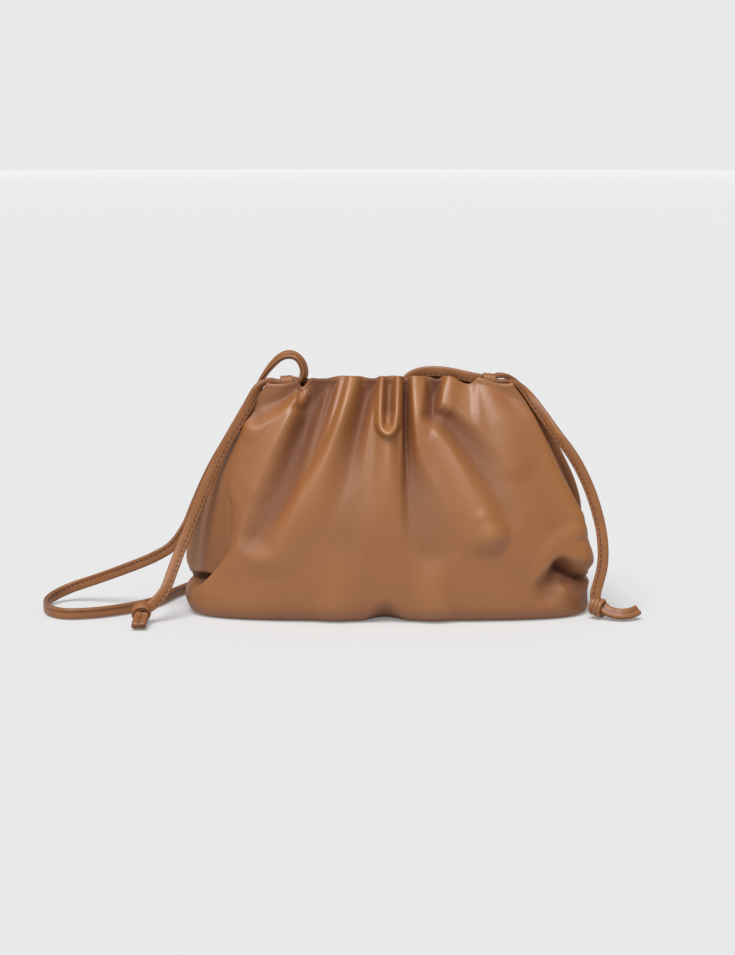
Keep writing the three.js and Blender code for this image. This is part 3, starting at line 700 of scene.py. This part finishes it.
def sewing_thread(strap):
    """Polyester thread with a dull sheen. Its twist is drawn as soft bands about 3 mm apart, since the wave
    texture turns 20 radians in each of its 100 units to a metre."""
    material, tree, where = new_material("twisted_sewing_thread")
    inputs = {"Vector": where, "Scale": 100.0, "Distortion": 1.0}
    twist = add_node(tree, "TexWave", inputs).outputs["Fac"]
    return close_material(material, {
        "Base Color": linear(strap.thread),
        "Roughness": 0.6,
        "Normal": raised(tree, twist, 0.08, strength=0.4),
    })


def studio_floor(stage):
    """Sanded acrylic sheet lit from below: matt, even and pale, so that shadows on it stay light."""
    material, tree, where = new_material("lit_acrylic_floor")
    tooth = noise(tree, where, 2, 3.0)["Fac"]
    return close_material(material, {
        "Base Color": linear(stage.floor),
        "Roughness": 0.95,
        "Specular IOR Level": 0.1,
        "Normal": raised(tree, tooth, 0.1, strength=0.05),
        "Emission Color": (1, 1, 1, 1),
        "Emission Strength": stage.glow,
    })


def lit_backdrop(stage):
    """Evenly lit backdrop paper, seen as one flat tone with a faint tooth."""
    material, tree, where = new_material("lit_backdrop_paper")
    level = map_range(tree, noise(tree, where, 40, 3.0)["Fac"], (0, 1), (0.995, 1.005))
    inputs = {"Color": linear(stage.backdrop), "Strength": level}
    return close_material(material, inputs, "Emission")


# The pouch.


def fold_field(folds, x, z):
    """Rise of all folds of one face. A fold acts by its distance from its bowed line, in half widths, through
    a bump; ridges and valleys each blend as a soft union of power FOLD_BLEND."""
    ridge = np.zeros_like(x)
    valley = np.zeros_like(x)
    for x0, z0, x1, z1, bow, left0, right0, left1, right1, rise0, rise1 in folds.values():
        run_x, run_z = x1 - x0, z1 - z0
        length = math.hypot(run_x, run_z)
        along = ((x - x0) * run_x + (z - z0) * run_z) / length ** 2
        share = np.clip(along, 0, 1)
        off = (-(x - x0) * run_z + (z - z0) * run_x) / length - bow * 4 * share * (1 - share)
        eased = smoothstep(share, 0, 1)
        left = left0 + (left1 - left0) * eased
        right = right0 + (right1 - right0) * eased
        past = (along - share) * length * 2 / (left + right)
        weight = bump(np.hypot(off / np.where(off < 0, left, right), past))
        rise = (rise0 + (rise1 - rise0) * eased) * weight
        ridge += np.maximum(rise, 0) ** FOLD_BLEND
        valley += np.maximum(-rise, 0) ** FOLD_BLEND
    return ridge ** (1 / FOLD_BLEND) - valley ** (1 / FOLD_BLEND)


def keyhole_field(x, z):
    """Rise of the hanging loop: a bump on the line at a fixed distance from its axis, and a dent within."""
    x0, z0, x1, z1, radius, rim_half, rim_rise, dent_half, dent_rise = KEYHOLE
    run_x, run_z = x1 - x0, z1 - z0
    share = np.clip(((x - x0) * run_x + (z - z0) * run_z) / (run_x ** 2 + run_z ** 2), 0, 1)
    away = np.hypot(x - x0 - run_x * share, z - z0 - run_z * share)
    return rim_rise * bump(np.abs(away - radius) / rim_half) + dent_rise * bump(away / dent_half)


def gusset_tuck(gusset, degrees, height, spread):
    """How far a side is pushed in: straight flanks, slightly rounded, from its two creases to its deepest
    line. spread moves the creases apart."""
    place = np.interp(height, gusset[:, 0], np.arange(len(gusset)))
    front, deep, back, depth = np.moveaxis(spline(gusset[:, 1:], place, mirrored=False), -1, 0)
    edge = np.where(degrees > deep, front + spread, back - spread)
    flank = np.clip((edge - degrees) / (edge - deep), 0, 1)
    return depth * (flank + CREASE_SOFTNESS * (smoothstep(flank, 0, 1) - flank))


def smooth_section(angle, share):
    """Superellipse of each level: x = a |cos|^(2/n), y = b |sin|^(2/n), with its outward direction."""
    height, half_width, half_depth, square = np.moveaxis(
        spline(SECTIONS, share * (len(SECTIONS) - 1), mirrored=False), -1, 0
    )
    across = signed_power(np.cos(angle), 2 / square)
    along = signed_power(np.sin(angle), 2 / square)
    out_x = signed_power(across, square - 1) / half_width
    out_y = signed_power(along, square - 1) / half_depth
    point = np.stack([half_width * across, half_depth * along, height], -1)
    return point, unit(np.stack([out_x, out_y, np.zeros_like(out_x)], -1))


def pouch_surface(angle, share, inset=0.0, spread=0.0):
    """The folded wall: the smooth section moved in by inset, its hem lowered by the dips, its folds added
    along the outward direction, and its sides pushed in. Returns the points and the rise of the folds less a
    share of the push, which sets the painted shade and highlight."""
    point, outward = smooth_section(angle, share)
    x, y, z = (point[..., axis].copy() for axis in range(3))
    front = y < 0
    point -= outward * np.asarray(inset)[..., None]
    near_hem = smoothstep(z, MOUTH_HEIGHT - HEM_REACH, MOUTH_HEIGHT)
    for face, middle, left, right, drop in HEM_DIPS.values():
        away = (x - middle) / np.where(x < middle, left, right)
        point[..., 2] -= np.where(face * y < 0, 0, drop * bump(np.abs(away)) * near_hem)
    facing = smoothstep(np.abs(outward[..., 1]), *FACING)
    rise = np.where(front, fold_field(FRONT_FOLDS, x, z) + keyhole_field(x, z), fold_field(BACK_FOLDS, x, z))
    point += outward * (rise * facing)[..., None]
    roll = np.clip((z - MOUTH_HEIGHT) / ROLL_REACH + 1, 0, 1) ** 2 * facing
    point[..., 2] += np.where(front, FRONT_LIFT, 0) * near_hem * facing
    point[..., 2] += CREST_LIFT * rise * roll
    by_knots = smoothstep(np.abs(x), *BY_KNOTS)
    point[..., 1] -= np.sign(y) * ROLL_IN * roll * (1 - (1 - ROLL_BY_KNOTS) * by_knots)
    gap = HEM_GAP + KNOT_GAP * by_knots - np.asarray(inset)
    room = np.sign(y) * point[..., 1] - gap
    kept = gap + (room + np.sqrt(room * room + GAP_SOFTNESS ** 2)) / 2
    point[..., 1] += (np.sign(y) * kept - point[..., 1]) * facing
    right = x > 0
    side_rise = np.where(right, fold_field(RIGHT_FOLDS, y, z), fold_field(LEFT_FOLDS, y, z))
    sideways = smoothstep(np.abs(outward[..., 0]), *FACING)
    degrees = np.degrees(np.where(right, np.arctan2(-np.sin(angle), np.cos(angle)), angle - np.pi))
    tuck = np.where(
        right,
        gusset_tuck(RIGHT_GUSSET, degrees, z, spread),
        gusset_tuck(LEFT_GUSSET, degrees, z, spread),
    )
    point[..., 0] += np.sign(x) * (side_rise * sideways - tuck)
    # The rise less a share of the push: painted shade in the tucked sides.
    return point, rise * facing + side_rise * sideways - TUCK_SHADE * tuck


def row_shares(heights):
    """Shares of the way up the sections, from 0 to 1, at which the smooth wall has the given heights."""
    share = np.linspace(0, 1, SHARE_SAMPLES)
    level = spline(SECTIONS, share * (len(SECTIONS) - 1), mirrored=False)[:, 0]
    return np.interp(heights, level, share)


def ring_angles(count):
    """Angles round the pouch, evenly spread along the reference section and closer on the front."""
    angle = np.linspace(0, 2 * np.pi, ANGLE_SAMPLES)
    points, _ = smooth_section(angle, np.full_like(angle, REFERENCE_SHARE))
    steps = np.linalg.norm(np.diff(points, axis=0), axis=1)
    steps *= np.where(points[1:, 1] < 0, FRONT_DENSITY, 1.0)
    length = np.concatenate([[0], np.cumsum(steps)])
    return np.interp(np.arange(count) / count * length[-1], length, angle)


def outer_wall(angles, rows):
    """Rings of the leather's outer side from the floor to the rim, and the rise of their folds."""
    wall_rows = np.linspace(FIRST_WALL_ROW, MOUTH_HEIGHT, rows - len(BASE_ROWS))
    angle, share = np.meshgrid(angles, row_shares(np.concatenate([BASE_ROWS, wall_rows])))
    points, rise = pouch_surface(angle, share)
    _, outward = smooth_section(angle, share)
    below_rim = (1 - share) * (len(SECTIONS) - 1) * TOP_STRETCH
    for middle, half, height in HEM_LINES:
        points += outward * (height * bump(np.abs(below_rim - middle) / half))[..., None]
    return points, rise


def inner_wall(angles, thick, hem_thick):
    """Rings of the leather's inner side from the rim to the floor, and the rise of their folds."""
    shares = np.concatenate([np.linspace(*INNER_HEM), np.linspace(*INNER_WALL)])
    angle, share = np.meshgrid(angles, shares)
    inset = thick + (hem_thick - thick) * smoothstep(share, *HEM_THICKENS)
    points, rise = pouch_surface(angle, share, inset, INNER_SPREAD)
    points[..., 2] = np.maximum(points[..., 2], thick)
    return points, rise


def rim_turn(outer_rim, inner_rim, hem_thick):
    """Rings of the half turn that joins the two sides over the rim."""
    turn = np.linspace(0, np.pi, RIM_STEPS + 1)[1:-1, None, None]
    rings = (outer_rim + inner_rim) / 2 + (outer_rim - inner_rim) / 2 * np.cos(turn)
    rings[..., 2] += 0.5 * hem_thick * np.sin(turn[..., 0])
    return rings


class BAG_OT_pouch(Operator):
    """Build the gathered leather pouch with its rolled hem and suede inside"""

    bl_idname = "bag.pouch"
    bl_label = "Pouch"

    def execute(self, context):
        pouch = context.scene.bag_pouch
        angles = ring_angles(pouch.columns)
        thick, hem_thick = pouch.thickness / MM, pouch.hem_thickness / MM
        outer, rise = outer_wall(angles, pouch.rows)
        inner, inner_rise = inner_wall(angles, thick, hem_thick)
        rim = rim_turn(outer[-1], inner[0], hem_thick)
        scales = BASE_SCALES[:, None, None]
        base = outer[0] * scales
        floor = inner[-1] * scales[::-1]
        floor[..., 2] = inner[-1][:, 2]
        rings = np.concatenate([base, outer, rim, inner, floor])
        flat = np.zeros(base.shape[:2])
        rises = np.concatenate([flat, rise, np.repeat(rise[-1:], len(rim), 0), inner_rise, flat])
        rows, columns = rings.shape[:2]
        suede_row = len(base) + len(outer) + len(rim) + SUEDE_ROW
        inside = (np.arange(rows - 1) >= suede_row).repeat(columns)
        add_piece(
            "pouch_leather_shell",
            "pouch",
            rings.reshape(-1, 3),
            tube_faces(rows, columns),
            [pouch_leather(pouch), suede_lining(pouch)],
            # The fold depth that sets the painted shade in the valleys and the painted highlight on the
            # crests.
            ("fold_depth", FLAT_TONE + FOLD_TONE * np.tanh(rises / TONE_RISE)),
            inside.astype(int).tolist() + [0, 1],
        )
        return {"FINISHED"}


# The straps and knots.


def strap_profile(width, thickness, row):
    """Section of the folded strap: a flat superellipse with a row for stitches pressed into one face, and on
    the other face the groove where the folded strip's raw edge lies, both at row of the width from the
    middle. Returns across, up and the seam's share."""
    turn = np.linspace(0, 2 * np.pi, PROFILE_POINTS, endpoint=False)
    across = width / 2 * signed_power(np.cos(turn), PROFILE_POWERS[0])
    up = thickness / 2 * signed_power(np.sin(turn), PROFILE_POWERS[1])
    from_row = np.abs(across - row * width) / width
    press = bump(from_row / STITCH_PRESS[0]) * (up < 0)
    groove = bump(from_row / GROOVE[0]) * (up > 0)
    up = up * (1 - STITCH_PRESS[1] * press - GROOVE[1] * groove)
    edge = smoothstep(np.abs(across) / width, *ROUNDED_EDGE)
    slit = bump(np.abs(up) / (SLIT[0] * thickness)) * (across > SLIT[1] * width)
    across = across - SLIT_DEPTH * slit
    return across, up, np.maximum(groove + PRESS_SHADE * press, np.maximum(EDGE_SHADE * edge, slit))


def strap_mesh(points, wide, normal, profile, width_share=1.0, thickness_share=1.0):
    """Vertices, faces and seam share of a strap along a path, with flat cut ends: point + wide * across +
    normal * up, both scaled by the shares."""
    across, up, seam = profile
    rings = (
        points[:, None]
        + wide[:, None] * (across * width_share)[..., None]
        + normal[:, None] * (up * thickness_share)[..., None]
    )
    return rings.reshape(-1, 3), tube_faces(len(points), len(across)), np.tile(seam, len(points))


def stitch_mesh(points, tangents, wide, normal, width, thickness, spacing):
    """A row of stitches: each is a short capsule along the strap, half sunk in the face, as rings whose
    relative radius is the root of 1 - t ** 4."""
    step = np.linalg.norm(np.diff(points, axis=0), axis=1)
    length = np.concatenate([[0], np.cumsum(step)])
    at = np.arange(spacing, length[-1] - spacing, spacing)
    spot, ahead, side, out = (
        np.stack([np.interp(at, length, field[:, axis]) for axis in range(3)], -1)
        for field in (points, tangents, wide, normal)
    )
    spot = spot + side * (STITCH_ROW * width) - out * (thickness / 2 * STITCH_HEIGHT)
    along = STITCH_HALF * spacing * STITCH_RINGS
    radius = THREAD_RADIUS * np.sqrt(np.maximum(STITCH_TIP, 1 - STITCH_RINGS ** 4))[:, None]
    turn = np.linspace(0, 2 * np.pi, STITCH_SIDES, endpoint=False)
    capsules = (
        spot[:, None, None]
        + ahead[:, None, None] * along[None, :, None, None]
        + side[:, None, None] * (radius * np.cos(turn))[None, :, :, None]
        + out[:, None, None] * (radius * np.sin(turn))[None, :, :, None]
    )
    rings, ring = len(STITCH_RINGS), np.arange(STITCH_SIDES)
    starts = np.arange(len(at))[:, None] * (rings * STITCH_SIDES)
    quads = (grid_faces(rings, STITCH_SIDES)[None] + starts[..., None]).reshape(-1, 4)
    first = starts + ring[::-1]
    last = starts + (rings - 1) * STITCH_SIDES + ring
    return capsules.reshape(-1, 3), quads.tolist() + first.tolist() + last.tolist()


def add_strap_piece(name, node, strap, points, faces, seam, face_material=None):
    """A piece in the strap's shared leather and thread, with the seam's share at each point."""
    made = [bpy.data.materials.get(one) for one in ("folded_strap_leather", "twisted_sewing_thread")]
    materials = made if all(made) else [strap_leather(strap), sewing_thread(strap)]
    return add_piece(name, node, points, faces, materials, ("seam", seam), face_material)


def build_strap(name, rows, strap, face):
    """One stitched strap along its rows. face -1 turns its stitched face to the other side."""
    stretches = len(rows) - 1
    line = spline(rows, np.linspace(0, stretches, stretches * STRAP_STEPS + 1), mirrored=True)
    points = line[:, :3]
    tangents = unit(np.gradient(points, axis=0))
    wide = square_to(line[:, 3:], tangents)
    normal = np.cross(tangents, wide) * face
    width, thickness = strap.width / MM, strap.thickness / MM
    share = np.linspace(0, 1, len(points))[:, None]
    taper = 1 - END_NARROWING * smoothstep(share, 1 - END_TAPER / path_length(points), 1)
    profile = strap_profile(width, thickness, STITCH_ROW)
    body, faces, seam = strap_mesh(points, wide, normal, profile, taper, taper)
    thread, thread_faces = stitch_mesh(points, tangents, wide, normal, width, thickness, strap.stitch / MM)
    face_material = [0] * len(faces) + [1] * len(thread_faces)
    faces += [[corner + len(body) for corner in corners] for corners in thread_faces]
    faces = [corners[::face] for corners in faces]
    seam = np.concatenate([seam, np.zeros(len(thread))])
    body = np.concatenate([body, thread])
    return add_strap_piece(name + "_stitched", name, strap, body, faces, seam, face_material), points * MM


def path_length(points):
    """Length of a line of points."""
    return float(np.sum(np.linalg.norm(np.diff(points, axis=0), axis=1)))


class BAG_OT_slide_knots(Operator):
    """Build the two wrapped knots at the ends of the mouth"""

    bl_idname = "bag.slide_knots"
    bl_label = "Slide Knots"

    def execute(self, context):
        strap = context.scene.bag_strap
        for name, (middle, tilt) in SLIDE_KNOTS.items():
            self.wrap(name, np.array(middle, float), math.radians(tilt), strap)
        return {"FINISHED"}

    def wrap(self, name, middle, tilt, strap):
        """A flat band wound three times round the strands: a helix whose radius sinks in at both ends."""
        share = np.linspace(0, 1, WRAP_POINTS)
        turn = 2 * np.pi * WRAP_TURNS * share + WRAP_START
        axis = np.array([math.cos(tilt), 0, math.sin(tilt)])
        lift = np.array([-math.sin(tilt), 0, math.cos(tilt)])
        back = np.array([0.0, 1.0, 0.0])
        sunk = 1 - smoothstep(np.minimum(share, 1 - share), 0, WRAP_SINK_SHARE)
        radius = WRAP_RADIUS - WRAP_SINK * sunk
        outward = np.cos(turn)[:, None] * back + np.sin(turn)[:, None] * lift
        along = (share - 0.5) * WRAP_LENGTH
        points = middle + axis * along[:, None] + outward * radius[:, None]
        tangents = unit(np.gradient(points, axis=0))
        wide = square_to(axis, tangents)
        profile = strap_profile(*WRAP_BAND, STITCH_ROW)
        body, faces, seam = strap_mesh(points, wide, np.cross(tangents, wide), profile)
        add_strap_piece(name + "_wraps", name, strap, body, faces, np.zeros_like(seam))


class BAG_OT_end_knots(Operator):
    """Build the overhand knots and cut tails of the two loose ends"""

    bl_idname = "bag.end_knots"
    bl_label = "End Knots"

    def execute(self, context):
        strap = context.scene.bag_strap
        for name, (middle, strand, tail, spread) in END_KNOTS.items():
            self.tie(name, np.array(middle, float), np.array(strand, float), np.array(tail), spread, strap)
        return {"FINISHED"}

    def tie(self, name, middle, strand, tail, spread, strap):
        """A snug overhand knot: the strap is wound round the line of its own tail, as middle + axis * length
        + (lift * cos + side * sin) * radius, with both ends sunk in, and leaves as the tail."""
        axis = unit(tail[0] - middle)
        lift = square_to(strand, axis)
        side = np.cross(axis, lift)
        share = np.linspace(0, 1, KNOT_STEPS)
        turn = 2 * np.pi * KNOT_TURNS * (share - 1) + KNOT_END
        free = smoothstep(np.minimum(share / KNOT_SINKS[0], (1 - share) / KNOT_SINKS[1]), 0, 1)
        radius = KNOT_RADIUS * (KNOT_SUNK + (1 - KNOT_SUNK) * free)
        ring = lift * np.cos(turn)[:, None] + side * np.sin(turn)[:, None]
        curve = middle + axis * (KNOT_LENGTH * (share - 0.5))[:, None] + ring * radius[:, None]
        place = np.linspace(0, len(tail), TAIL_STEPS * len(tail) + 1)
        run = spline(np.concatenate([curve[-1:], tail]), place, mirrored=True)
        points = np.concatenate([curve, run[2:]])
        tangents = unit(np.gradient(points, axis=0))
        loose = smoothstep(np.arange(len(points))[:, None] - KNOT_STEPS, *TAIL_TURNS_FLAT)
        flat = unit(np.cross(TAIL_FACE, tangents))
        wide = square_to(axis * (1 - loose) + flat * loose, tangents)
        profile = strap_profile(strap.width / MM, strap.thickness / MM, TAIL_ROW)
        width_share = KNOT_WIDTH + (spread - KNOT_WIDTH) * loose
        thickness_share = 1 + TAIL_SWELL * loose
        normal = np.cross(tangents, wide)
        body, faces, seam = strap_mesh(points, wide, normal, profile, width_share, thickness_share)
        body[:, 2] = np.maximum(body[:, 2], TAIL_LOWEST)
        add_strap_piece(name + "_tied", name, strap, body, faces, seam)


class BAG_OT_straps(Operator):
    bl_idname = "bag.straps"
    bl_label = "Straps"

    def execute(self, context):
        strap = context.scene.bag_strap
        for name, (rows, face, far_end, lay, knots) in CORDS.items():
            piece, path = build_strap(name, rows, strap, face)
        return {"FINISHED"}


# The stage.


class BAG_OT_stage(Operator):
    """Set up the lit floor, the backdrop, the soft light and the camera"""

    bl_idname = "bag.stage"
    bl_label = "Stage"

    def execute(self, context):
        scene, stage = context.scene, context.scene.bag_stage
        self.camera(scene)
        self.rings(scene, "acrylic_floor", studio_floor(stage), STUDIO_RADIUS * FLOOR_RINGS, 0)
        self.rings(scene, "backdrop_paper", lit_backdrop(stage), STUDIO_RADIUS, BACKDROP_HEIGHTS)
        self.key_light(scene, stage)
        world = bpy.data.worlds.new("lit_studio")
        world.use_nodes = True
        background = world.node_tree.nodes["Background"].inputs
        background["Color"].default_value = (1, 1, 1, 1)
        background["Strength"].default_value = stage.ambient
        scene.world = world
        scene.view_settings.view_transform = "Standard"
        return {"FINISHED"}

    def camera(self, scene):
        """A long lens 1.4 m away, 10 degrees above the floor: 0.64 mm to a pixel of 735 by 955 at the bag."""
        data = bpy.data.cameras.new("front_camera")
        data.sensor_fit = "VERTICAL"
        data.sensor_height = 36
        data.lens = 36 * 1.4 / (0.955 * 0.64)
        camera = bpy.data.objects.new("front_camera", data)
        camera.location = (-0.01408, -1.36436, 0.3246)
        camera.rotation_euler = (math.radians(80), 0, 0)
        scene.collection.objects.link(camera)
        scene.camera = camera

    def rings(self, scene, name, material, radius, height):
        """A round sheet of the stage, through rings about the origin with those radii and heights."""
        turn = np.linspace(0, 2 * np.pi, STUDIO_SIDES, endpoint=False)
        radius, height, turn = np.broadcast_arrays(radius, height, turn)
        points = np.stack([radius * np.cos(turn), radius * np.sin(turn), height], -1)
        mesh = bpy.data.meshes.new(name)
        mesh.from_pydata(points.reshape(-1, 3).tolist(), [], grid_faces(*points.shape[:2]).tolist())
        mesh.materials.append(material)
        piece = bpy.data.objects.new(name, mesh)
        scene.collection.objects.link(piece)

    def key_light(self, scene, stage):
        """A wide soft light from above, in front and to the left."""
        data = bpy.data.lights.new("overhead_softbox", "SUN")
        data.energy = stage.key
        data.angle = stage.softness
        lamp = bpy.data.objects.new("overhead_softbox", data)
        lamp.location = (-0.25, -0.75, 1.4)
        lamp.rotation_euler = (-lamp.location).to_track_quat("-Z", "Y").to_euler()
        scene.collection.objects.link(lamp)


# The add-on.


class BAG_PT_panel(Panel):
    """Lists the bag's pieces and their settings."""

    bl_idname = "BAG_PT_panel"
    bl_label = "Gathered Crossbody Bag"
    bl_space_type = "VIEW_3D"
    bl_region_type = "UI"
    bl_category = "Bag"

    def draw(self, context):
        scene = context.scene
        for settings in (scene.bag_pouch, scene.bag_strap, scene.bag_stage):
            box = self.layout.box()
            for name in settings.__annotations__:
                box.prop(settings, name)
        for operator in BUILD_ORDER:
            self.layout.operator(operator.bl_idname)


SETTINGS = {"bag_pouch": PouchSettings, "bag_strap": StrapSettings, "bag_stage": StageSettings}
BUILD_ORDER = (BAG_OT_stage, BAG_OT_slide_knots, BAG_OT_end_knots, BAG_OT_straps, BAG_OT_pouch)
CLASSES = (*SETTINGS.values(), *BUILD_ORDER, BAG_PT_panel)


def register():
    """Adds the classes and hangs the settings on the scene."""
    for one in CLASSES:
        bpy.utils.register_class(one)
    for name, group in SETTINGS.items():
        setattr(bpy.types.Scene, name, PointerProperty(type=group))


def unregister():
    """Takes the settings and classes away again."""
    for name in SETTINGS:
        delattr(bpy.types.Scene, name)
    for one in reversed(CLASSES):
        bpy.utils.unregister_class(one)


def main():
    """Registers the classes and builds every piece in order."""
    register()
    bpy.ops.bag.stage()
    bpy.ops.bag.slide_knots()
    bpy.ops.bag.end_knots()
    bpy.ops.bag.straps()
    bpy.ops.bag.pouch()
    bpy.context.view_layer.update()


if __name__ == "__main__":
    main()
